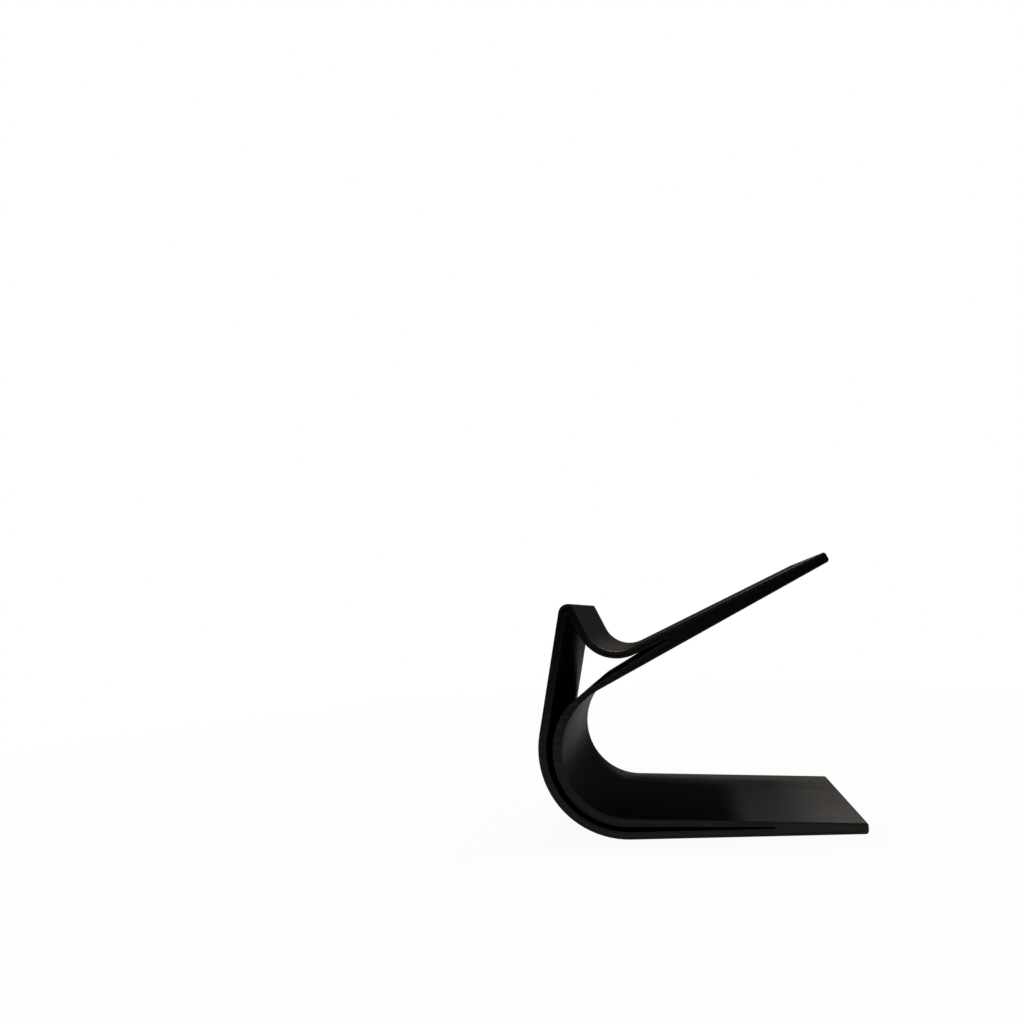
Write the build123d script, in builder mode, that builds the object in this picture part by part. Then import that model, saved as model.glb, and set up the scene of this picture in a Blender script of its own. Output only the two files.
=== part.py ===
from build123d import *
from math import acos, atan2, cos, degrees, radians, sin, tan
import os

# Game controller stand, printed in one piece.
# One ribbon profile, seen from the side, runs unchanged across the whole width:
# a foot, a heel bend, a front wall up to the apex, a hook, a round cradle, and a
# long arm that rises from the cradle.
# Inside the heel and the front wall a second, inner wall leaves a narrow slit,
# which opens into a three-cornered window under the cradle.
# X runs from the heel to the tip of the foot, Y across the width, Z up.
# The origin is on the ground, in the middle of the length and of the width.

# Overall sizes, in millimetres
width = 53.0
foot_reach = 71.3
front_rise = 43.8
arm_length = 80.0

# Outer ribbon: heel bend, front wall, apex and hook
wall = 2.4
heel_radius = 27.45
front_lean = 10.2
apex_width = 3.4
apex_front_radius = 2.9
apex_back_radius = 0.9
hook_lean = 26.2
hook_wall = 2.2
cradle_radius = 10.25

# Foot and arm, which both get thinner towards their tips
foot_tip_thickness = 3.4
foot_taper = 2.35
arm_tip_thickness = 3.2
arm_rise = 27.85
arm_taper = 2.7
tip_radius = 0.9

# Throat, the open space between the foot and the arm: how far its round end stays
# in from the heel's own radius, and the thickness left at the front
throat_inset = 6.95
throat_wall = 7.25

# Slit between the outer wall and the inner wall
inner_wall = 2.6
slit_at_front = 1.9
slit_at_foot = 1.4
slit_reach = 43.2
slit_end = 0.4

# Web, where the inner wall crosses over to the arm, and its notch at the cradle
web_thickness = 2.0
web_set_back = 1.8
shoulder_turn = 145.5
shoulder_radius = 6.0
notch_angle = 5.1
notch_end = 0.4
apex_inner_radius = 0.4

# Small bevel along every edge of the two side faces
edge_break = 0.25


def polar(distance, angle):
    """Step of a length in the direction of an angle in degrees."""
    return Vector(distance * cos(radians(angle)), distance * sin(radians(angle)))


def meet(start, angle, other, other_angle):
    """Point where the line through start at angle crosses the line through other."""
    way = polar(1, angle)
    other_way = polar(1, other_angle)
    return start + way * ((other - start).cross(other_way).Z / way.cross(other_way).Z)


def arc_centre(start, angle, other, other_angle, radius):
    """Centre of the arc that touches two lines and lies to the left of both."""
    side = start + polar(radius, angle + 90)
    other_side = other + polar(radius, other_angle + 90)
    return meet(side, angle, other_side, other_angle)


# Directions of the straight stretches, in degrees from +X
front_angle = 90 - front_lean
hook_angle = 90 + hook_lean
arm_top_angle = arm_rise - arm_taper

# Heel bend, its lowest point under its centre, and the front wall above it
apex_height = heel_radius + front_rise
heel_centre = Vector(0, heel_radius)
heel_low = Vector(0, 0)
front_start = heel_centre + polar(heel_radius, front_angle + 90)
apex_front = meet(front_start, front_angle, Vector(0, apex_height), 0)
apex_back = apex_front + Vector(apex_width, 0)

# Foot tip, and the throat's round end between the foot's top and the arm's underside
foot_tip_low = Vector(foot_reach, 0)
foot_tip_high = Vector(foot_reach, foot_tip_thickness)
throat_radius = heel_radius - throat_inset
throat_x = throat_wall + throat_radius - heel_radius
foot_top_there = foot_tip_thickness + (foot_reach - throat_x) * tan(radians(foot_taper))
throat_centre = Vector(throat_x, foot_top_there + throat_radius / cos(radians(foot_taper)))
throat_low = throat_centre + polar(throat_radius, -90 - foot_taper)
throat_high = throat_centre + polar(throat_radius, 90 + arm_rise)

# Arm tip and cradle
arm_tip_low = throat_high + polar(arm_length, arm_rise)
arm_tip_high = arm_tip_low + polar(arm_tip_thickness, arm_rise + 90)
cradle_centre = arc_centre(apex_back, hook_angle - 180, arm_tip_high, arm_top_angle, cradle_radius)
cradle_start = cradle_centre + polar(cradle_radius, hook_angle + 90)
cradle_end = cradle_centre + polar(cradle_radius, arm_top_angle - 90)
cradle_turn = 180 + arm_top_angle - hook_angle

# Hollow, outer side: a wall in from the heel, the front wall, the hook and the cradle
hollow_heel_radius = heel_radius - wall
hollow_low = heel_centre + polar(hollow_heel_radius, -90)
hollow_front = heel_centre + polar(hollow_heel_radius, front_angle + 90)
under_cradle_radius = cradle_radius + hook_wall
under_hook = cradle_centre + polar(under_cradle_radius, hook_angle + 90)
under_cradle = cradle_centre + polar(under_cradle_radius, arm_top_angle - 90)
hollow_apex = meet(hollow_front, front_angle, under_hook, hook_angle)

# Hollow, inner side: the web's top, its shoulder, and the slit's arc round the throat
web_angle = arm_top_angle + notch_angle
web_kink = throat_high + polar(web_thickness, arm_rise + 90) + polar(web_set_back, arm_rise + 180)
notch_tip = meet(web_kink, web_angle, under_cradle, arm_top_angle)
notch_low = notch_tip + polar(notch_end / tan(radians(notch_angle)), web_angle + 180)
notch_high = meet(notch_low, web_angle + 90, under_cradle, arm_top_angle)
slit_radius = throat_radius + inner_wall
slit_centre = Vector(
    wall + slit_at_front + slit_radius - heel_radius,
    wall + slit_at_foot + slit_radius,
)
shoulder = slit_centre + polar(slit_radius, shoulder_turn)
slit_tip_low = Vector(slit_reach, wall)
slit_tip_high = Vector(slit_reach, wall + slit_end)

# The slit's upper side runs from the tip's top corner to touch the arc under the throat
tip_way = slit_tip_high - slit_centre
tip_bearing = degrees(atan2(tip_way.Y, tip_way.X))
slit_low_bearing = tip_bearing - degrees(acos(slit_radius / tip_way.length))
slit_low = slit_centre + polar(slit_radius, slit_low_bearing)

# The origin sits under the middle of the whole length
length = heel_radius + foot_reach
profile_plane = Plane(
    origin=(heel_radius - length / 2, 0, 0), x_dir=(1, 0, 0), z_dir=(0, -1, 0)
)

with BuildPart() as stand:
    # Outline: foot, heel, front wall, apex, hook, cradle, arm and throat
    with BuildSketch(profile_plane) as profile:
        with BuildLine() as outline:
            Line(foot_tip_low, heel_low)
            CenterArc(heel_centre, heel_radius, 270, front_angle - 180)
            Line(front_start, apex_front)
            Line(apex_front, apex_back)
            Line(apex_back, cradle_start)
            CenterArc(cradle_centre, cradle_radius, hook_angle + 90, cradle_turn)
            Line(cradle_end, arm_tip_high)
            Line(arm_tip_high, arm_tip_low)
            Line(arm_tip_low, throat_high)
            CenterArc(throat_centre, throat_radius, 90 + arm_rise, 180 - arm_rise - foot_taper)
            Line(throat_low, foot_tip_high)
            Line(foot_tip_high, foot_tip_low)
        make_face()
        tips = profile.vertices().group_by(Axis.X)[-1]
        tips += profile.vertices().sort_by_distance(arm_tip_low)[:1]
        tips += profile.vertices().sort_by_distance(arm_tip_high)[:1]
        fillet(tips, radius=tip_radius)
        fillet(profile.vertices().sort_by_distance(apex_front)[0], radius=apex_front_radius)
        fillet(profile.vertices().sort_by_distance(apex_back)[0], radius=apex_back_radius)

        # Hollow: the slit in the foot and heel, the window, and the notch under the arm
        with BuildSketch(mode=Mode.PRIVATE) as hollow:
            with BuildLine() as hollow_outline:
                Line(slit_tip_low, hollow_low)
                CenterArc(heel_centre, hollow_heel_radius, 270, front_angle - 180)
                Line(hollow_front, hollow_apex)
                Line(hollow_apex, under_hook)
                CenterArc(cradle_centre, under_cradle_radius, hook_angle + 90, cradle_turn)
                Line(under_cradle, notch_high)
                Line(notch_high, notch_low)
                Line(notch_low, web_kink)
                Line(web_kink, shoulder)
                CenterArc(slit_centre, slit_radius, shoulder_turn, 360 + slit_low_bearing - shoulder_turn)
                Line(slit_low, slit_tip_high)
                Line(slit_tip_high, slit_tip_low)
            make_face()
            fillet(hollow.vertices().sort_by_distance(hollow_apex)[0], radius=apex_inner_radius)
            fillet(hollow.vertices().sort_by_distance(web_kink)[0], radius=shoulder_radius)
            fillet(hollow.vertices().sort_by_distance(shoulder)[0], radius=shoulder_radius)
        add(hollow.sketch, mode=Mode.SUBTRACT)
    extrude(amount=width / 2, both=True)

    # The two side faces meet every other face at a small bevel
    chamfer(stand.faces().filter_by(Axis.Y).edges(), length=edge_break)

stand.part.label = "controller_stand"

os.makedirs("parts", exist_ok=True)
export_step(stand.part, "parts/controller_stand.step")
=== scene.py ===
"""Looks of the controller stand: the printed ribbon, its black plastic, the studio and the camera."""

import logging
import math
from dataclasses import dataclass, field
from enum import Enum
from typing import Any, Sequence

import bpy
import numpy as np
from mathutils import Matrix
from mathutils.geometry import tessellate_polygon


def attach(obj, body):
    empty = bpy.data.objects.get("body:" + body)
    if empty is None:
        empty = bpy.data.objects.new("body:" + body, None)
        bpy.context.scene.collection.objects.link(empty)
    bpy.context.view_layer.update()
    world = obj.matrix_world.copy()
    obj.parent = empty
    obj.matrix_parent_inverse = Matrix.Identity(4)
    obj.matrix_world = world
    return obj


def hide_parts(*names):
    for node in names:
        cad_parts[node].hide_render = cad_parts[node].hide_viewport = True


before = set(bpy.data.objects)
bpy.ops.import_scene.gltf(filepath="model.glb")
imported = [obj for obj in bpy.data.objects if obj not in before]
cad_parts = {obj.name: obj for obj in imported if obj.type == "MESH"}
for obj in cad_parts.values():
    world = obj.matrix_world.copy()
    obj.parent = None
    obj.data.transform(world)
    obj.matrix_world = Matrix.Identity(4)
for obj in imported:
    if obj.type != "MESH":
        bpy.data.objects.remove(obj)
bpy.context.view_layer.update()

MM = 0.001
LOG = logging.getLogger("controller_stand")
NODE = "controller_stand"

# X, Y and Z, or red, green and blue
Triple = tuple[float, float, float]


def way(angle: float) -> np.ndarray:
    """Unit vector at an angle in degrees, counted from +X towards +Z."""
    return np.array([math.cos(math.radians(angle)), math.sin(math.radians(angle))])


def bearing(step: np.ndarray) -> float:
    """Angle of a plane step in degrees, counted from +X towards +Z."""
    return math.degrees(math.atan2(step[1], step[0]))


def cross(a: np.ndarray, b: np.ndarray) -> np.ndarray:
    """Signed area that two plane vectors span."""
    return a[..., 0] * b[..., 1] - a[..., 1] * b[..., 0]


def meet(start: np.ndarray, angle: float, other: np.ndarray, other_angle: float) -> np.ndarray:
    """Point where two lines cross.

    Args:
        start: A point of the first line.
        angle: Direction of the first line in degrees.
        other: A point of the second line.
        other_angle: Direction of the second line in degrees.

    Returns:
        The crossing, as a plane point.
    """
    ahead = way(angle)
    across = way(other_angle)
    return start + ahead * (cross(other - start, across) / cross(ahead, across))


@dataclass(frozen=True)
class Contour:
    """A sampled closed outline of the profile, in millimetres.

    Attributes:
        points: Plane points, one row each.
        normals: Unit normals that point out of the plastic.
    """

    points: np.ndarray
    normals: np.ndarray


@dataclass(frozen=True)
class Corner:
    """One corner of an outline, in millimetres.

    Attributes:
        point: The corner's place before rounding.
        radius: Radius that rounds it.
    """

    point: np.ndarray
    radius: float


@dataclass(frozen=True)
class RoundedLoop:
    """A closed polygon whose corners are rounded, each to its own radius.

    Attributes:
        corners: The corners in their order along the loop.
        fewest_parts: Smallest number of chords in a corner's arc.
    """

    corners: Sequence[Corner]
    fewest_parts: int = 4

    def sample(self, sag: float) -> Contour:
        """Samples the loop with its exact normals.

        A corner's arc is its centre plus the radius times the normal, while the normal turns
        evenly from that of the edge that comes in to that of the edge that goes out.

        Args:
            sag: Largest gap between an arc and its chord.

        Returns:
            The sampled outline.
        """
        points = np.array([corner.point for corner in self.corners])
        radii = np.array([corner.radius for corner in self.corners])
        ahead = np.roll(points, -1, axis=0) - points
        ahead = ahead / np.linalg.norm(ahead, axis=1, keepdims=True)
        back = np.roll(ahead, 1, axis=0)
        turns = np.arctan2(cross(back, ahead), (back * ahead).sum(axis=1))
        reach = radii * np.tan(np.abs(turns) / 2)
        begins = points - back * reach[:, None]
        first = np.stack([back[:, 1], -back[:, 0]], axis=1)
        bulge = np.sign(turns) * radii
        centres = begins - first * bulge[:, None]
        path = []
        normals = []
        for k, turn in enumerate(turns):
            parts = max(self.fewest_parts, math.ceil(abs(turn) / math.sqrt(8 * sag / radii[k])))
            angles = turn * np.linspace(0, 1, parts + 1)
            cosine, sine = np.cos(angles), np.sin(angles)
            arc = np.stack(
                [cosine * first[k, 0] - sine * first[k, 1], sine * first[k, 0] + cosine * first[k, 1]],
                axis=1,
            )
            path.append(centres[k] + bulge[k] * arc)
            normals.append(arc)
        return Contour(np.concatenate(path), np.concatenate(normals))


@dataclass(frozen=True)
class RibbonProfile:
    """The stand's side profile, in millimetres.

    X is 0 under the centre of the heel bend and grows towards the foot's tip, Z is 0 on the ground.
    """

    # Overall sizes
    foot_reach: float = 71.3
    front_rise: float = 43.8
    arm_length: float = 80.0

    # Outer ribbon: heel bend, front wall, apex, hook and cradle
    wall: float = 2.4
    heel_radius: float = 27.45
    front_lean: float = 10.2
    apex_width: float = 3.4
    apex_front_radius: float = 2.9
    apex_back_radius: float = 0.9
    hook_lean: float = 26.2
    hook_wall: float = 2.2
    cradle_radius: float = 10.25

    # Foot, arm and throat
    foot_tip_thickness: float = 3.4
    foot_taper: float = 2.35
    arm_tip_thickness: float = 3.2
    arm_rise: float = 27.85
    arm_taper: float = 2.7
    tip_radius: float = 0.9
    throat_inset: float = 6.95
    throat_wall: float = 7.25

    # Slit, window and notch
    inner_wall: float = 2.6
    slit_at_front: float = 1.9
    slit_at_foot: float = 1.4
    slit_reach: float = 43.2
    slit_end: float = 0.4
    web_thickness: float = 2.0
    web_set_back: float = 1.8
    shoulder_turn: float = 145.5
    shoulder_radius: float = 6.0
    notch_angle: float = 5.1
    notch_end: float = 0.4
    narrow_radius: float = 0.192
    apex_inner_radius: float = 0.4

    @property
    def middle(self) -> float:
        """X of the middle of the stand's length, which stands over the frame's origin."""
        return (self.foot_reach - self.heel_radius) / 2

    @property
    def front_angle(self) -> float:
        """Direction of the front wall, upwards."""
        return 90 - self.front_lean

    @property
    def hook_angle(self) -> float:
        """Direction of the hook, upwards."""
        return 90 + self.hook_lean

    @property
    def arm_top_angle(self) -> float:
        """Direction of the arm's top face, towards its tip."""
        return self.arm_rise - self.arm_taper

    @property
    def front_point(self) -> np.ndarray:
        """Point where the heel bend meets the front wall."""
        centre = np.array([0.0, self.heel_radius])
        return centre + self.heel_radius * way(self.front_angle + 90)

    @property
    def apex_front(self) -> np.ndarray:
        """The apex's corner over the front wall."""
        top = np.array([0.0, self.heel_radius + self.front_rise])
        return meet(self.front_point, self.front_angle, top, 0)

    @property
    def apex_back(self) -> np.ndarray:
        """The apex's corner over the hook."""
        return self.apex_front + [self.apex_width, 0]

    @property
    def throat_radius(self) -> float:
        """Radius of the round end between the foot and the arm."""
        return self.heel_radius - self.throat_inset

    @property
    def throat_centre(self) -> np.ndarray:
        """Centre of the throat's round end, above the foot's sloping top."""
        x = self.throat_wall + self.throat_radius - self.heel_radius
        slope = math.radians(self.foot_taper)
        top = self.foot_tip_thickness + (self.foot_reach - x) * math.tan(slope)
        return np.array([x, top + self.throat_radius / math.cos(slope)])

    @property
    def arm_root(self) -> np.ndarray:
        """Point where the throat's round end meets the arm's underside."""
        return self.throat_centre + self.throat_radius * way(90 + self.arm_rise)

    @property
    def arm_low(self) -> np.ndarray:
        """The lower corner of the arm's tip."""
        return self.arm_root + self.arm_length * way(self.arm_rise)

    @property
    def arm_high(self) -> np.ndarray:
        """The upper corner of the arm's tip."""
        return self.arm_low + self.arm_tip_thickness * way(self.arm_rise + 90)

    @property
    def web_corner(self) -> np.ndarray:
        """Corner of the web's top, over the throat's round end."""
        up = self.web_thickness * way(self.arm_rise + 90)
        return self.arm_root + up + self.web_set_back * way(self.arm_rise + 180)

    @property
    def slit_radius(self) -> float:
        """Radius of the slit's inner side, round the throat."""
        return self.throat_radius + self.inner_wall

    @property
    def slit_centre(self) -> np.ndarray:
        """Centre of the slit's inner side."""
        return np.array([
            self.wall + self.slit_at_front + self.slit_radius - self.heel_radius,
            self.wall + self.slit_at_foot + self.slit_radius,
        ])

    def outline(self) -> RoundedLoop:
        """The outer outline, from the heel bend along the ground.

        Returns:
            The loop, counter-clockwise.
        """
        ground = np.array([0.0, 0.0])
        foot_low = np.array([self.foot_reach, 0.0])
        foot_high = np.array([self.foot_reach, self.foot_tip_thickness])
        throat = meet(foot_high, 180 - self.foot_taper, self.arm_low, self.arm_rise)
        cradle = meet(self.arm_high, self.arm_top_angle, self.apex_back, self.hook_angle)
        return RoundedLoop([
            Corner(meet(ground, 0, self.front_point, self.front_angle), self.heel_radius),
            Corner(foot_low, self.tip_radius),
            Corner(foot_high, self.tip_radius),
            Corner(throat, self.throat_radius),
            Corner(self.arm_low, self.tip_radius),
            Corner(self.arm_high, self.tip_radius),
            Corner(cradle, self.cradle_radius),
            Corner(self.apex_back, self.apex_back_radius),
            Corner(self.apex_front, self.apex_front_radius),
        ])

    def _notch(self, under_arm: np.ndarray) -> tuple[np.ndarray, np.ndarray]:
        """The two corners of the notch's narrow end, between the web and the arm.

        Args:
            under_arm: A point of the hollow's edge under the arm's top.

        Returns:
            The corner on the arm's side and the one on the web.
        """
        web_angle = self.arm_top_angle + self.notch_angle
        tip = meet(self.web_corner, web_angle, under_arm, self.arm_top_angle)
        back = self.notch_end / math.tan(math.radians(self.notch_angle))
        low = tip + back * way(web_angle + 180)
        return meet(low, web_angle + 90, under_arm, self.arm_top_angle), low

    def _slit_side(self, slit_end: np.ndarray) -> tuple[np.ndarray, np.ndarray]:
        """The two corners of the slit's inner side: its shoulder, and its arc round the throat.

        The shoulder's rounding touches the web's slope and, from inside, the arc: its centre
        lies at its own radius from the slope and at the difference of both radii from the
        arc's centre. The arc ends where its tangent passes through the slit's end.

        Args:
            slit_end: Upper corner of the slit's end.

        Returns:
            The shoulder's corner and the arc's corner.
        """
        web = self.web_corner
        slope = self.slit_centre + self.slit_radius * way(self.shoulder_turn) - web
        slope = slope / np.linalg.norm(slope)
        offset = web + self.shoulder_radius * np.array([-slope[1], slope[0]]) - self.slit_centre
        inside = self.slit_radius - self.shoulder_radius
        reach = -offset @ slope + math.sqrt((offset @ slope) ** 2 - (offset @ offset - inside ** 2))
        turn = bearing(offset + slope * reach)
        touch = self.slit_centre + self.slit_radius * way(turn)
        to_end = slit_end - self.slit_centre
        leave = bearing(to_end) - math.degrees(math.acos(self.slit_radius / np.linalg.norm(to_end)))
        shoulder = meet(web, bearing(slope), touch, turn + 90)
        return shoulder, meet(touch, turn + 90, slit_end, leave + 90)

    def hollow(self) -> RoundedLoop:
        """The slit, the window and the notch, from the slit's end along its outer side.

        Returns:
            The loop, clockwise.
        """
        low = np.array([0.0, self.wall])
        slit_low = np.array([self.slit_reach, self.wall])
        slit_high = slit_low + [0, self.slit_end]
        front = self.front_point + self.wall * way(self.front_angle - 90)
        under_hook = self.apex_back + self.hook_wall * way(self.hook_angle + 90)
        under_arm = self.arm_high + self.hook_wall * way(self.arm_top_angle - 90)
        under_cradle = meet(under_hook, self.hook_angle, under_arm, self.arm_top_angle)
        notch_high, notch_low = self._notch(under_arm)
        shoulder, slit_arc = self._slit_side(slit_high)
        return RoundedLoop([
            Corner(slit_low, self.narrow_radius),
            Corner(meet(low, 0, front, self.front_angle), self.heel_radius - self.wall),
            Corner(meet(front, self.front_angle, under_hook, self.hook_angle), self.apex_inner_radius),
            Corner(under_cradle, self.cradle_radius + self.hook_wall),
            Corner(notch_high, self.narrow_radius),
            Corner(notch_low, self.narrow_radius),
            Corner(self.web_corner, self.shoulder_radius),
            Corner(shoulder, self.shoulder_radius),
            Corner(slit_arc, self.slit_radius),
            Corner(slit_high, self.narrow_radius),
        ])


@dataclass(frozen=True)
class PrintSettings:
    """How the ribbon was printed, lying on its side, in millimetres.

    Attributes:
        width: Width of the ribbon, which is the print's height.
        layer: Height of a layer.
        layer_depth: Depth of the grooves between the layers.
        layer_shift: Largest shift of a layer's crest into the plastic.
        layer_roundness: Share by which a ridge leans less at its crest and more in its groove.
        seed: Seed of the layers' shifts.
        road: Width of a printed road.
        loops: Number of roads along every outline.
        groove: Depth of the grooves between the roads.
        groove_side: Place of the points beside a groove, as a share of the road.
        core_margin: Step from the innermost road to the flat core.
        core_sink: Depth of the core below the side face's plane, as a share of the groove's.
        edge_steps: Number of strips in the outermost road's round edge.
    """

    width: float = 53.0
    layer: float = 0.25
    layer_depth: float = 0.05
    layer_shift: float = 0.012
    layer_roundness: float = 0.35
    seed: int = 7
    road: float = 0.42
    loops: int = 2
    groove: float = 0.045
    groove_side: float = 0.14
    core_margin: float = 0.03
    core_sink: float = 0.2
    edge_steps: int = 6


@dataclass(frozen=True)
class Stations:
    """The ribbon's cross-section from one side face's core to the other's, in millimetres.

    Attributes:
        inset: Distance from the outline into the plastic at each station.
        y: Place across the width at each station.
        face: 1 on a side face and 0 on the walls, at each station.
        lean: Turn of the surface's normal away from the outline's own normal towards +Y, in
            radians, at both ends of each strip between two stations.
    """

    inset: np.ndarray
    y: np.ndarray
    face: np.ndarray
    lean: np.ndarray

    @staticmethod
    def _roads(settings: PrintSettings) -> tuple[np.ndarray, np.ndarray, np.ndarray]:
        """Rings of a side face, from its core out to the outermost road's crest.

        The plastic lies below the face's plane by the groove's depth times the cube of the
        distance from the nearest road's crest, where the crest is 0 and the road's edge is 1.
        Past the innermost groove it rises almost to the plane again, where the core starts.

        Args:
            settings: How the ribbon was printed.

        Returns:
            The rings' insets and depths, and the depth's slopes at both ends of each strip.
        """
        road = settings.road
        side = settings.groove_side
        inner = np.arange(1, settings.loops)[:, None] + np.array([-side, 0.0, side, 0.5])
        last = settings.loops + np.array([-side, 0.0])
        rings = road * np.concatenate([[0.5], inner.ravel(), last])
        depth = settings.groove * np.abs(2 * np.mod(rings / road, 1.0) - 1) ** 3
        ends = np.stack([rings[:-1], rings[1:]], axis=1) / road
        across = 2 * (ends - np.floor(ends.mean(axis=1, keepdims=True))) - 1
        slopes = settings.groove * 3 * across * np.abs(across) * 2 / road
        rings = np.append(rings, rings[-1] + settings.core_margin)
        depth = np.append(depth, settings.core_sink * settings.groove)
        step = (depth[-1] - depth[-2]) / settings.core_margin
        slopes = np.append(slopes, [[step, step]], axis=0)
        return rings[::-1], depth[::-1], slopes[::-1, ::-1]

    @staticmethod
    def _layers(settings: PrintSettings) -> tuple[np.ndarray, np.ndarray, np.ndarray]:
        """Ridges of the walls, from one edge to the other.

        Every layer is a ridge that falls evenly from its crest to the grooves beside it, and
        each crest has its own small shift into the plastic. A ridge's normals lean by its
        slope, less at the crest and more in the groove, which rounds it.

        Args:
            settings: How the ribbon was printed.

        Returns:
            The crests' and grooves' places across and insets, and the lean at both ends of
            each strip.
        """
        reach = (settings.width - settings.road) / 2
        count = round(2 * reach / settings.layer)
        places = np.linspace(-reach, reach, 2 * count + 1)
        insets = np.full(len(places), settings.layer_depth)
        insets[::2] = np.random.default_rng(settings.seed).uniform(0, settings.layer_shift, count + 1)
        insets[[0, -1]] = 0.0
        slopes = np.diff(insets) / np.diff(places)
        share = 1 + settings.layer_roundness * np.array([[-1, 1], [1, -1]])
        return places, insets, np.arctan(slopes[:, None] * np.tile(share, (count, 1)))

    @staticmethod
    def of(settings: PrintSettings) -> "Stations":
        """Works the stations out from the print's roads and layers.

        The outermost road turns over the edge in a quarter circle of half a road's width, from
        the side face's roads to the walls' layers.

        Args:
            settings: How the ribbon was printed.

        Returns:
            The whole cross-section.
        """
        half = settings.width / 2
        edge = settings.road / 2
        rings, depth, slopes = Stations._roads(settings)
        turn = np.linspace(0, math.pi / 2, settings.edge_steps + 1)
        inset = np.concatenate([rings, edge * (1 - np.sin(turn[1:]))])
        y = np.concatenate([depth - half, edge * (1 - np.cos(turn[1:])) - half])
        face = np.concatenate([np.ones(len(rings)), np.cos(turn[1:]) ** 2])
        quarter = np.stack([turn[:-1], turn[1:]], axis=1)
        lean = np.concatenate([-np.arctan(slopes), quarter]) - math.pi / 2
        places, insets, layer_lean = Stations._layers(settings)
        return Stations(
            np.concatenate([inset, insets[1:-1], inset[::-1]]),
            np.concatenate([y, places[1:-1], -y[::-1]]),
            np.concatenate([face, np.zeros(len(places) - 2), face[::-1]]),
            np.concatenate([lean, layer_lean, -lean[::-1, ::-1]]),
        )


class Ray(Enum):
    """Kinds of ray that the room and the floor tell apart."""

    CAMERA = "Is Camera Ray"
    GLOSSY = "Is Glossy Ray"
    TRANSMISSION = "Is Transmission Ray"


class Signal:
    """A shader socket's value, on which Python's operators add Math nodes."""

    def __init__(self, graph: "Graph", socket: bpy.types.NodeSocket) -> None:
        """Keeps the graph and the socket."""
        self.graph = graph
        self.socket = socket

    def math(self, operation: str, *others: Any) -> "Signal":
        """Adds one Math node.

        Args:
            operation: The Math node's operation.
            others: Its second and third values, as signals or numbers.

        Returns:
            The node's result.
        """
        inputs = dict(enumerate([self, *others]))
        return self.graph.node("ShaderNodeMath", {"operation": operation}, inputs)

    def _second(self, operation: str, first: float) -> "Signal":
        """Adds one Math node with a number first and the signal second."""
        return self.graph.node("ShaderNodeMath", {"operation": operation}, {0: first, 1: self})

    def __add__(self, other: Any) -> "Signal":
        """Sum."""
        return self.math("ADD", other)

    def __radd__(self, other: float) -> "Signal":
        """Sum with a number first."""
        return self._second("ADD", other)

    def __sub__(self, other: Any) -> "Signal":
        """Difference."""
        return self.math("SUBTRACT", other)

    def __rsub__(self, other: float) -> "Signal":
        """Difference from a number."""
        return self._second("SUBTRACT", other)

    def __mul__(self, other: Any) -> "Signal":
        """Product."""
        return self.math("MULTIPLY", other)

    def __rmul__(self, other: float) -> "Signal":
        """Product with a number first."""
        return self._second("MULTIPLY", other)

    def __truediv__(self, other: Any) -> "Signal":
        """Quotient."""
        return self.math("DIVIDE", other)

    def __rtruediv__(self, other: float) -> "Signal":
        """Number divided by the signal."""
        return self._second("DIVIDE", other)

    def __pow__(self, power: Any) -> "Signal":
        """Power."""
        return self.math("POWER", power)

    def __rpow__(self, base: float) -> "Signal":
        """Number raised to the signal."""
        return self._second("POWER", base)

    def __lt__(self, other: Any) -> "Signal":
        """1 where the signal is the smaller, else 0."""
        return self.math("LESS_THAN", other)

    def __abs__(self) -> "Signal":
        """Size without sign."""
        return self.math("ABSOLUTE")

    def part(self) -> "Signal":
        """What is left over from the whole number below."""
        return self.math("FRACT")


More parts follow.
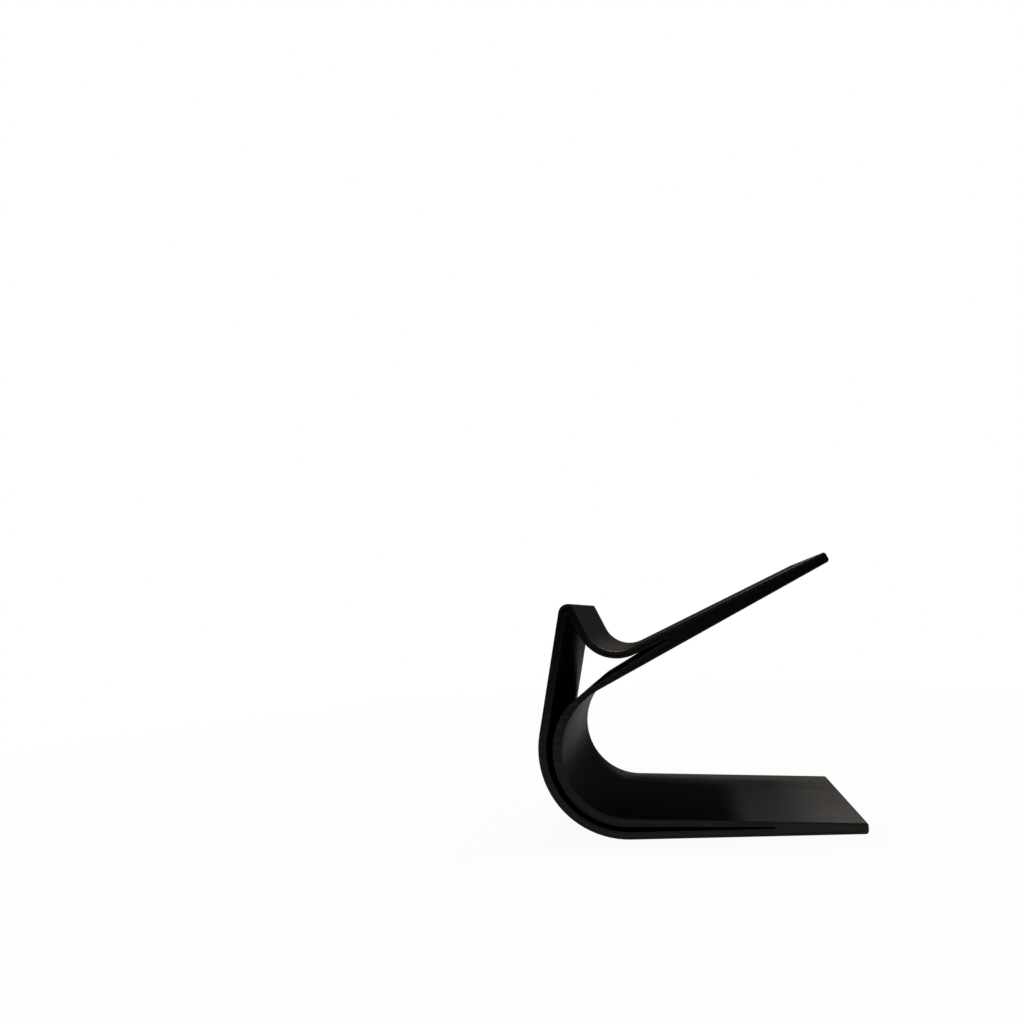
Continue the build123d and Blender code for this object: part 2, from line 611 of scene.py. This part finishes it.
class Graph:
    """Builds a node tree from typed calls."""

    def __init__(self, tree: bpy.types.NodeTree) -> None:
        """Empties the tree and keeps it."""
        self.tree = tree
        tree.nodes.clear()

    def node(
        self, kind: str, settings: dict[str, Any], inputs: dict[Any, Any], output: int | str = 0
    ) -> Signal:
        """Adds a node.

        Args:
            kind: The node's Blender type.
            settings: Its properties, such as a Math node's operation, which are set first.
            inputs: Socket names or numbers with a signal or a value each.
            output: Name or number of the output that the result reads.

        Returns:
            The chosen output.
        """
        made = self.tree.nodes.new(kind)
        for name, value in settings.items():
            setattr(made, name, value)
        for name, value in inputs.items():
            if isinstance(value, Signal):
                self.tree.links.new(value.socket, made.inputs[name])
            else:
                made.inputs[name].default_value = value
        return Signal(self, made.outputs[output])

    def output(self, kind: str, shader: Signal) -> None:
        """Adds the tree's output node and links the shader to its surface."""
        made = self.tree.nodes.new(kind)
        self.tree.links.new(shader.socket, made.inputs["Surface"])

    def attribute(self, name: str) -> Signal:
        """A mesh attribute's value."""
        return self.node("ShaderNodeAttribute", {"attribute_name": name}, {}, "Fac")

    def place(self, output: str) -> Signal:
        """The place or direction that is shaded, in one kind of coordinates."""
        return self.node("ShaderNodeTexCoord", {}, {}, output)

    def axis(self, place: Signal, number: int) -> Signal:
        """One coordinate of a place: 0, 1 and 2 for X, Y and Z."""
        return self.node("ShaderNodeSeparateXYZ", {}, {0: place}, number)

    def vector(self, operation: str, inputs: dict[Any, Any], output: str = "Vector") -> Signal:
        """Adds one Vector Math node."""
        return self.node("ShaderNodeVectorMath", {"operation": operation}, inputs, output)

    def ray(self, kind: Ray) -> Signal:
        """1 for one kind of ray, else 0."""
        return self.node("ShaderNodeLightPath", {}, {}, kind.value)

    def rise(self, value: Signal, start: float, end: float, low: float = 0.0) -> Signal:
        """Goes smoothly from low to 1 while the value goes from start to end."""
        return self.node(
            "ShaderNodeMapRange",
            {"interpolation_type": "SMOOTHSTEP"},
            {0: value, 1: start, 2: end, 3: low, 4: 1.0},
        )

    def noise(self, place: Signal, scale: float, detail: float = 2.0) -> Signal:
        """Soft noise from 0 to 1 at a place, with a scale in waves per metre."""
        return self.node(
            "ShaderNodeTexNoise", {}, {"Vector": place, "Scale": scale, "Detail": detail}, "Fac"
        )

    def colours(self, share: Signal, first: Triple, second: Triple) -> Signal:
        """Goes from the first colour to the second while the share goes from 0 to 1."""
        inputs = {0: share, 6: (*first, 1.0), 7: (*second, 1.0)}
        return self.node("ShaderNodeMix", {"data_type": "RGBA"}, inputs, 2)


@dataclass(frozen=True)
class BlackPlastic:
    """Black printing plastic, with what the print leaves on it, and painted shade on its side faces.

    Attributes:
        wall_colour: Base colour of the walls.
        face_colour_with_painted_shade: Base colour of the two side faces, darker than the walls': partly
            their own deeper black, partly painted shade.
        tone_spread: Share by which the colour's tone changes from place to place.
        band_scale: Waves of tone from layer to layer, per millimetre.
        band_detail: Detail of those waves.
        cloud_scale: Waves of tone over the surface, per metre.
        cloud_detail: Detail of those waves.
        roughness: Roughness of the walls.
        face_roughness: Roughness of the side faces.
        roughness_spread: How far the roughness changes with the clouds.
        specular: Strength of the gloss, where 0.5 is that of a common plastic.
        infill_pitch: Distance between infill lines in millimetres.
        infill_depth: Depth of the grooves between them in millimetres.
        wander: How far an infill line wanders, as a share of the pitch.
        wander_scale: Waves of that wander per metre.
        grain_depth: Depth of the fine grain in millimetres.
        grain_scale: Waves of the grain per metre.
        streak_gloss: Weight of the glossier coat in a streak.
        streak_roughness: Roughness of that coat.
        streak_stretch: Shares by which the streaks' noise runs along X, Y and Z.
        streak_scale: Waves of that noise per metre.
        streak_from: Noise at which a streak starts.
        streak_to: Noise at which it is full.
        patch_scale: Waves per metre of the patches that hold streaks.
        patch_height: Height of the thickest patches in millimetres.
        patch_fall: How much the patches thin out per millimetre above and below it.
        patch_from: Noise at which a patch starts.
        patch_to: Noise at which it is full.
    """

    wall_colour: Triple = (0.009, 0.0088, 0.0085)
    # The side faces' colour is partly their own deeper black and partly painted shade, as the near face
    # gets little light.
    face_colour_with_painted_shade: Triple = (0.0032, 0.0028, 0.0024)
    tone_spread: float = 0.22
    band_scale: float = 0.9
    band_detail: float = 3.0
    cloud_scale: float = 55.0
    cloud_detail: float = 4.0
    roughness: float = 0.39
    face_roughness: float = 0.38
    roughness_spread: float = 0.12
    specular: float = 0.6
    infill_pitch: float = 0.5
    infill_depth: float = 0.01
    wander: float = 0.35
    wander_scale: float = 90.0
    grain_depth: float = 0.004
    grain_scale: float = 2600.0
    streak_gloss: float = 0.9
    streak_roughness: float = 0.4
    streak_stretch: Triple = (0.18, 1.0, 1.0)
    streak_scale: float = 1000.0
    streak_from: float = 0.50
    streak_to: float = 0.66
    patch_scale: float = 60.0
    patch_height: float = 36.0
    patch_fall: float = 0.009
    patch_from: float = 0.22
    patch_to: float = 0.38

    def _infill(self, graph: Graph, place: Signal) -> Signal:
        """Height of straight infill lines, level on the near side face and upright on the far one.

        Each line is a rounded ridge: 1 less the cube of the distance from its crest, where the
        crest is 0 and the groove beside it is 1.

        Args:
            graph: The plastic's nodes.
            place: Object coordinates.

        Returns:
            The height in millimetres.
        """
        x, y, z = (graph.axis(place, number) / MM for number in range(3))
        near = y < 0.0
        wander = (graph.noise(place, self.wander_scale) - 0.5) * self.wander
        lines = (near * z + (1 - near) * x) / self.infill_pitch + wander
        across = abs(lines.part() * 2 - 1)
        return (1 - across ** 3) * self.infill_depth

    def _streaks(self, graph: Graph, place: Signal) -> Signal:
        """Short level streaks in soft patches, most of them at the throat's height.

        A streak stands where noise that is stretched along X is high, and a patch where soft
        noise less the distance from the patches' own height is high.

        Args:
            graph: The plastic's nodes.
            place: Object coordinates.

        Returns:
            1 in a full streak and 0 beside it.
        """
        stretched = graph.vector("MULTIPLY", {0: place, 1: self.streak_stretch})
        streaks = graph.rise(
            graph.noise(stretched, self.streak_scale), self.streak_from, self.streak_to
        )
        away = abs(graph.axis(place, 2) / MM - self.patch_height)
        patches = graph.noise(place, self.patch_scale) - away * self.patch_fall
        return streaks * graph.rise(patches, self.patch_from, self.patch_to)

    def material(self, core_inset: float) -> bpy.types.Material:
        """Builds the plastic.

        Side faces carry infill lines inside the loops, and glossier streaks. Fine grain and a
        slow change of tone, in bands of layers and in clouds, cover everything.

        Args:
            core_inset: Distance from the outline at which the infill starts, in millimetres.

        Returns:
            The material.
        """
        material = bpy.data.materials.new("black_plastic")
        material.use_nodes = True
        graph = Graph(material.node_tree)
        place = graph.place("Object")
        face = graph.attribute("face")
        core = 1 - (graph.attribute("inset") < core_inset)
        grain = graph.noise(place, self.grain_scale) * self.grain_depth
        height = self._infill(graph, place) * core * face + grain
        bump = {"Height": height, "Strength": 1.0, "Distance": MM}

        layer = {"W": graph.axis(place, 1) / MM, "Scale": self.band_scale, "Detail": self.band_detail}
        bands = graph.node("ShaderNodeTexNoise", {"noise_dimensions": "1D"}, layer, "Fac")
        cloud = graph.noise(place, self.cloud_scale, self.cloud_detail)
        tone = (cloud + bands - 1.0) * self.tone_spread + 1.0
        # Side faces take a darker colour than the walls, partly painted shade.
        plain = graph.colours(face, self.wall_colour, self.face_colour_with_painted_shade)
        rough = self.roughness + face * (self.face_roughness - self.roughness)
        shader = graph.node(
            "ShaderNodeBsdfPrincipled",
            {},
            {
                "Base Color": graph.vector("SCALE", {0: plain, "Scale": tone}),
                "Roughness": rough + (cloud - 0.5) * self.roughness_spread,
                "Normal": graph.node("ShaderNodeBump", {}, bump, "Normal"),
                "Specular IOR Level": self.specular,
                "Coat Weight": self._streaks(graph, place) * face * self.streak_gloss,
                "Coat Roughness": self.streak_roughness,
            },
        )
        graph.output("ShaderNodeOutputMaterial", shader)
        return material


@dataclass
class PrintedRibbon:
    """The whole stand: one closed ribbon profile, as wide as the print is tall.

    Attributes:
        profile: Its side profile.
        settings: How it was printed.
        sag: Largest gap between an arc and its chord, in millimetres.
    """

    profile: RibbonProfile = field(default_factory=RibbonProfile)
    settings: PrintSettings = field(default_factory=PrintSettings)
    sag: float = 0.02

    def _sweep(self, contour: Contour, stations: Stations) -> np.ndarray:
        """Grid surface of one outline carried through the stations.

        The point at outline place i and station j is the outline's point less its normal times
        the station's inset, at the station's y.

        Args:
            contour: The outline.
            stations: The cross-section.

        Returns:
            Points in metres, as a grid of outline by station by three.
        """
        flat = contour.points[:, None, :] - contour.normals[:, None, :] * stations.inset[None, :, None]
        across = np.broadcast_to(stations.y[None, :], flat.shape[:2])
        return MM * np.stack([flat[..., 0] - self.profile.middle, across, flat[..., 1]], axis=-1)

    @staticmethod
    def _corner_normals(contour: Contour, stations: Stations) -> np.ndarray:
        """Normals at the corners of the grid's faces, in the order of the faces' corners.

        A normal is the outline's normal times the cosine of the strip's lean at that end, plus
        Y times its sine.

        Args:
            contour: The outline.
            stations: The cross-section.

        Returns:
            Unit normals, one row per face corner.
        """
        here = contour.normals[:, None, :]
        after = np.roll(here, -1, axis=0)
        outline = np.stack([here, here, after, after], axis=2)
        lean = stations.lean[None, :, [0, 1, 1, 0]]
        side = outline * np.cos(lean)[..., None]
        aside = np.broadcast_to(np.sin(lean), side.shape[:3])
        return np.stack([side[..., 0], aside, side[..., 1]], axis=-1).reshape(-1, 3)

    @staticmethod
    def _quads(first: int, count: int, stations: int) -> np.ndarray:
        """Faces of a grid that is closed along the outline, turned outwards.

        Args:
            first: Number of the grid's first vertex.
            count: Points along the outline.
            stations: Points across.

        Returns:
            Vertex numbers, four to a face.
        """
        here = np.arange(count)[:, None] * stations
        after = np.roll(here, -1, axis=0)
        station = np.arange(stations - 1)[None, :]
        corners = [here + station, here + station + 1, after + station + 1, after + station]
        return first + np.stack(corners, axis=-1).reshape(-1, 4)

    @staticmethod
    def _core(rings: Sequence[np.ndarray], numbers: Sequence[np.ndarray], outwards: float) -> np.ndarray:
        """Fills the flat middle of a side face between the innermost rings.

        Args:
            rings: The rings' points, the outer one first.
            numbers: The rings' vertex numbers.
            outwards: Sign of Y on the outside of this face.

        Returns:
            Vertex numbers, three to a face.
        """
        filled = np.array(tessellate_polygon([ring.tolist() for ring in rings]))
        flat = np.concatenate(rings)[:, [0, 2]]
        corners = flat[filled]
        area = cross(corners[:, 1] - corners[:, 0], corners[:, 2] - corners[:, 0])
        filled = np.where((area * outwards > 0)[:, None], filled[:, ::-1], filled)
        return np.concatenate(numbers)[filled]

    def build(self) -> bpy.types.Object:
        """Builds the ribbon's mesh with exact normals and the places its finish reads.

        Returns:
            The ribbon, at the frame's origin.
        """
        stations = Stations.of(self.settings)
        across = len(stations.y)
        points, normals, quads, near, far = [], [], [], [], []
        first = 0
        for loop in (self.profile.outline(), self.profile.hollow()):
            contour = loop.sample(self.sag)
            place = self._sweep(contour, stations)
            count = len(place)
            points.append(place.reshape(-1, 3))
            normals.append(self._corner_normals(contour, stations))
            quads.append(self._quads(first, count, across))
            row = first + np.arange(count) * across
            near.append((place[:, 0], row))
            far.append((place[:, -1], row + across - 1))
            first += count * across
        faces = np.concatenate(quads).tolist()
        for side, outwards in ((near, -1.0), (far, 1.0)):
            core = self._core([ring for ring, _ in side], [row for _, row in side], outwards)
            faces += core.tolist()
            normals.append(np.tile([0.0, outwards, 0.0], (core.size, 1)))
        mesh = bpy.data.meshes.new("stand_ribbon")
        mesh.from_pydata(np.concatenate(points).tolist(), [], faces)
        mesh.shade_smooth()
        mesh.normals_split_custom_set(np.concatenate(normals).tolist())
        total = first // across
        self._store(mesh, "inset", np.tile(stations.inset, total))
        self._store(mesh, "face", np.tile(stations.face, total))
        ribbon = bpy.data.objects.new("stand_ribbon", mesh)
        bpy.context.scene.collection.objects.link(ribbon)
        return ribbon

    @staticmethod
    def _store(mesh: bpy.types.Mesh, name: str, values: np.ndarray) -> None:
        """Keeps one number per vertex under a name."""
        mesh.attributes.new(name, "FLOAT", "POINT").data.foreach_set("value", values.astype(np.float32))

    def dress(self, ribbon: bpy.types.Object, plastic: BlackPlastic) -> None:
        """Gives the ribbon its plastic, and its place in the frame.

        Args:
            ribbon: The built ribbon.
            plastic: What it is printed in.
        """
        core = self.settings.loops * self.settings.road
        ribbon.data.materials.append(plastic.material(core + self.settings.core_margin / 2))
        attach(ribbon, "root")
        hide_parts(NODE)


def frame_matrix(right: np.ndarray, up: np.ndarray, back: np.ndarray, place: np.ndarray) -> Matrix:
    """Placement of a lamp or camera.

    Args:
        right: Unit vector along its own X.
        up: Unit vector along its own Y.
        back: Unit vector against the way it looks.
        place: Its place in metres.

    Returns:
        The matrix with these as its columns.
    """
    matrix = np.eye(4)
    matrix[:3, 0], matrix[:3, 1], matrix[:3, 2], matrix[:3, 3] = right, up, back, place
    return Matrix(matrix.tolist())


@dataclass(frozen=True)
class RoomLight:
    """Low light of the room around the stand, warm on its dim side and white on its bright one.

    Attributes:
        bright_side: Direction of the bright side.
        turn_from: Cosine to the bright side up to which the room is dim.
        turn_to: Cosine at which it is as bright as it gets.
        dim_level: Level of the dim side, where 1 is plain white.
        bright_level: Level of the bright side.
        dim_colour: Colour of the dim side.
    """

    bright_side: Triple = (0.60, 0.50, 0.62)
    turn_from: float = -0.6
    turn_to: float = 1.0
    dim_level: float = 0.01
    bright_level: float = 0.05
    dim_colour: Triple = (1.0, 0.82, 0.68)

    def shine(self) -> bpy.types.World:
        """Makes the world: plain white for the camera, and the room's light for other rays.

        The room's level and colour go smoothly from the dim side's to the bright side's with
        the cosine between the ray and the bright side.

        Returns:
            The world.
        """
        world = bpy.data.worlds.new("studio")
        world.use_nodes = True
        bpy.context.scene.world = world
        graph = Graph(world.node_tree)
        white = (1.0, 1.0, 1.0)
        towards = graph.vector("DOT_PRODUCT", {0: graph.place("Generated"), 1: self.bright_side}, "Value")
        rise = graph.rise(towards, self.turn_from, self.turn_to)
        tint = graph.colours(rise, self.dim_colour, white)
        level = rise * (self.bright_level - self.dim_level) + self.dim_level
        room = graph.node("ShaderNodeBackground", {}, {"Color": tint, "Strength": level})
        plain = graph.node("ShaderNodeBackground", {}, {"Color": (*white, 1.0), "Strength": 1.0})
        shown = graph.node("ShaderNodeMixShader", {}, {0: graph.ray(Ray.CAMERA), 1: room, 2: plain})
        graph.output("ShaderNodeOutputWorld", shown)
        return world


@dataclass(frozen=True)
class Floor:
    """Pale floor under the stand, in metres.

    Attributes:
        size: Length of its sides.
        colour: Its own colour, on which the stand's shadow falls.
        glow: Share of plain white that the camera sees near the stand.
        glow_from: Distance from the stand at which that share starts to rise.
        glow_to: Distance at which only white is left.
        bright_side: Direction towards which the painted pool of light, seen only in reflections, is
            bright on the floor.
        dull_level: Level of that painted light on the other side, where 1 is plain white.
        dull_to: Distance towards the bright side up to which that level holds.
        bright_from: Distance towards it from which the level is 1.
        near_reach: Distance from the stand up to which those levels hold all round.
        far_reach: Distance at which they have fallen to their far share.
        far_share: That share.
    """

    size: float = 6.0
    colour: Triple = (0.85, 0.85, 0.85)
    glow: float = 0.95
    glow_from: float = 0.10
    glow_to: float = 0.45
    bright_side: Triple = (-0.6, 0.8, 0.0)
    dull_level: float = 0.30
    dull_to: float = 0.02
    bright_from: float = 0.12
    near_reach: float = 0.15
    far_reach: float = 0.32
    far_share: float = 0.06

    def _material(self) -> bpy.types.Material:
        """Builds the floor's finish.

        The camera sees white mixed over the floor's own lit colour, in a share that rises away
        from the stand. Reflections and glass see a painted pool of light instead: a white glow,
        brighter towards one side and falling off far out. All other rays see the floor's own colour.

        Returns:
            The material.
        """
        material = bpy.data.materials.new("floor")
        material.use_nodes = True
        graph = Graph(material.node_tree)
        white = (1.0, 1.0, 1.0, 1.0)
        spot = graph.place("Object")
        away = graph.vector("LENGTH", {0: spot}, "Value")
        aside = graph.vector("DOT_PRODUCT", {0: spot, 1: self.bright_side}, "Value")

        pale = graph.node("ShaderNodeBsdfDiffuse", {}, {"Color": (*self.colour, 1.0)})
        glow = graph.node("ShaderNodeEmission", {}, {"Color": white, "Strength": 1.0})
        share = graph.ray(Ray.CAMERA) * graph.rise(away, self.glow_from, self.glow_to, self.glow)
        shown = graph.node("ShaderNodeMixShader", {}, {0: share, 1: pale, 2: glow})

        # Painted pool of light on the floor, seen only in reflections and glass: brighter towards one
        # side, fading far out.
        level = graph.rise(aside, self.dull_to, self.bright_from, self.dull_level)
        level = level * graph.rise(away, self.far_reach, self.near_reach, self.far_share)
        painted_light_pool = graph.node("ShaderNodeEmission", {}, {"Color": white, "Strength": level})
        bounced = graph.ray(Ray.GLOSSY).math("MAXIMUM", graph.ray(Ray.TRANSMISSION))
        graph.output(
            "ShaderNodeOutputMaterial",
            graph.node("ShaderNodeMixShader", {}, {0: bounced, 1: shown, 2: painted_light_pool}),
        )
        return material

    def lay(self) -> bpy.types.Object:
        """Lays the floor under the stand.

        Returns:
            The floor.
        """
        half = self.size / 2
        corners = np.array([[-half, -half, 0], [half, -half, 0], [half, half, 0], [-half, half, 0]])
        mesh = bpy.data.meshes.new("floor")
        mesh.from_pydata(corners.tolist(), [], [[0, 1, 2, 3]])
        mesh.materials.append(self._material())
        floor = bpy.data.objects.new("floor", mesh)
        bpy.context.scene.collection.objects.link(floor)
        return floor


@dataclass(frozen=True)
class SoftLamp:
    """A flat lamp that hangs above the stand, in metres and watts.

    Attributes:
        name: The lamp's name.
        place: Its middle.
        length: Its size along X.
        depth: Its other size.
        power: Its power.
        colour: Colour of its light.
        aim: The place that it faces, at the stand's middle.
    """

    name: str
    place: Triple
    length: float
    depth: float
    power: float
    colour: Triple
    aim: Triple = (0.0, 0.0, 0.04)

    def hang(self) -> bpy.types.Object:
        """Hangs the lamp up, with its length along X.

        Returns:
            The lamp.
        """
        lamp = bpy.data.lights.new(self.name, "AREA")
        lamp.shape = "RECTANGLE"
        lamp.size = self.length
        lamp.size_y = self.depth
        lamp.energy = self.power
        lamp.color = self.colour
        holder = bpy.data.objects.new(self.name, lamp)
        back = np.array(self.place) - np.array(self.aim)
        back = back / np.linalg.norm(back)
        up = np.cross(back, [1.0, 0.0, 0.0])
        up = up / np.linalg.norm(up)
        holder.matrix_world = frame_matrix(np.cross(up, back), up, back, np.array(self.place))
        bpy.context.scene.collection.objects.link(holder)
        return holder


@dataclass(frozen=True)
class Studio:
    """The room's low light, the floor, a small key lamp and a long, warm strip lamp."""

    room: RoomLight = RoomLight()
    floor: Floor = Floor()
    lamps: tuple[SoftLamp, ...] = (
        SoftLamp("key_lamp", (0.385, 0.187, 1.01), 0.08, 0.08, 1.8, (1.0, 1.0, 1.0)),
        SoftLamp("strip_lamp", (-0.02, 0.10, 1.05), 0.44, 0.12, 8.5, (1.0, 0.85, 0.68)),
    )

    def build(self) -> None:
        """Sets everything up, and reports each piece."""
        LOG.info("world %s", self.room.shine().name)
        LOG.info("floor %s", self.floor.lay().name)
        for lamp in self.lamps:
            LOG.info("lamp %s", lamp.hang().name)


@dataclass(frozen=True)
class PictureCamera:
    """The picture's view: square on to the profile, close, a little above the stand's middle.

    Lengths are in millimetres and picture places in pixels of a square picture.

    Attributes:
        vanishing: X and Z of the point straight ahead of the lens.
        near_distance: Distance from the lens to the stand's near side face.
        pixel: Size of a pixel on that face.
        roll: Turn of the picture in degrees.
        centre: The picture's place of the vanishing point.
        picture: Width and height of the picture.
        sensor: Width of the sensor.
        clip_start: Distance at which the camera starts to see.
    """

    vanishing: tuple[float, float] = (-6.764, 68.144)
    near_distance: float = 185.73
    pixel: float = 0.30
    roll: float = 1.353
    centre: tuple[float, float] = (676.82, 611.65)
    picture: float = 1024.0
    sensor: float = 36.0
    clip_start: float = 10.0

    def place(self, near_face: float) -> bpy.types.Object:
        """Creates the camera.

        The focal length in pixels is the distance to the near side face over the size of a
        pixel there. The shift puts the vanishing point at its place in the picture.

        Args:
            near_face: Y of the stand's near side face.

        Returns:
            The camera.
        """
        lens = bpy.data.cameras.new("picture_camera")
        lens.sensor_fit = "HORIZONTAL"
        lens.sensor_width = self.sensor
        lens.lens = self.near_distance / self.pixel / self.picture * self.sensor
        lens.shift_x = (self.picture / 2 - self.centre[0]) / self.picture
        lens.shift_y = (self.centre[1] - self.picture / 2) / self.picture
        lens.clip_start = self.clip_start * MM
        turn = math.radians(self.roll)
        right = np.array([math.cos(turn), 0.0, -math.sin(turn)])
        up = np.array([math.sin(turn), 0.0, math.cos(turn)])
        y = near_face - self.near_distance
        spot = np.array([self.vanishing[0], y, self.vanishing[1]]) * MM
        camera = bpy.data.objects.new("picture_camera", lens)
        camera.matrix_world = frame_matrix(right, up, np.array([0.0, -1.0, 0.0]), spot)
        bpy.context.scene.collection.objects.link(camera)
        bpy.context.scene.camera = camera
        return camera


def main() -> None:
    """Builds the stand, then the studio and the camera, and reports each."""
    logging.basicConfig(level=logging.INFO, format="%(name)s: %(message)s")
    bpy.context.scene.view_settings.view_transform = "Standard"
    ribbon = PrintedRibbon()
    piece = ribbon.build()
    ribbon.dress(piece, BlackPlastic())
    LOG.info("%s: %d vertices, %d faces", piece.name, len(piece.data.vertices), len(piece.data.polygons))
    Studio().build()
    camera = PictureCamera().place(-ribbon.settings.width / 2)
    LOG.info("camera %s, lens %.2f mm", camera.name, camera.data.lens)


if __name__ == "__main__":
    main()
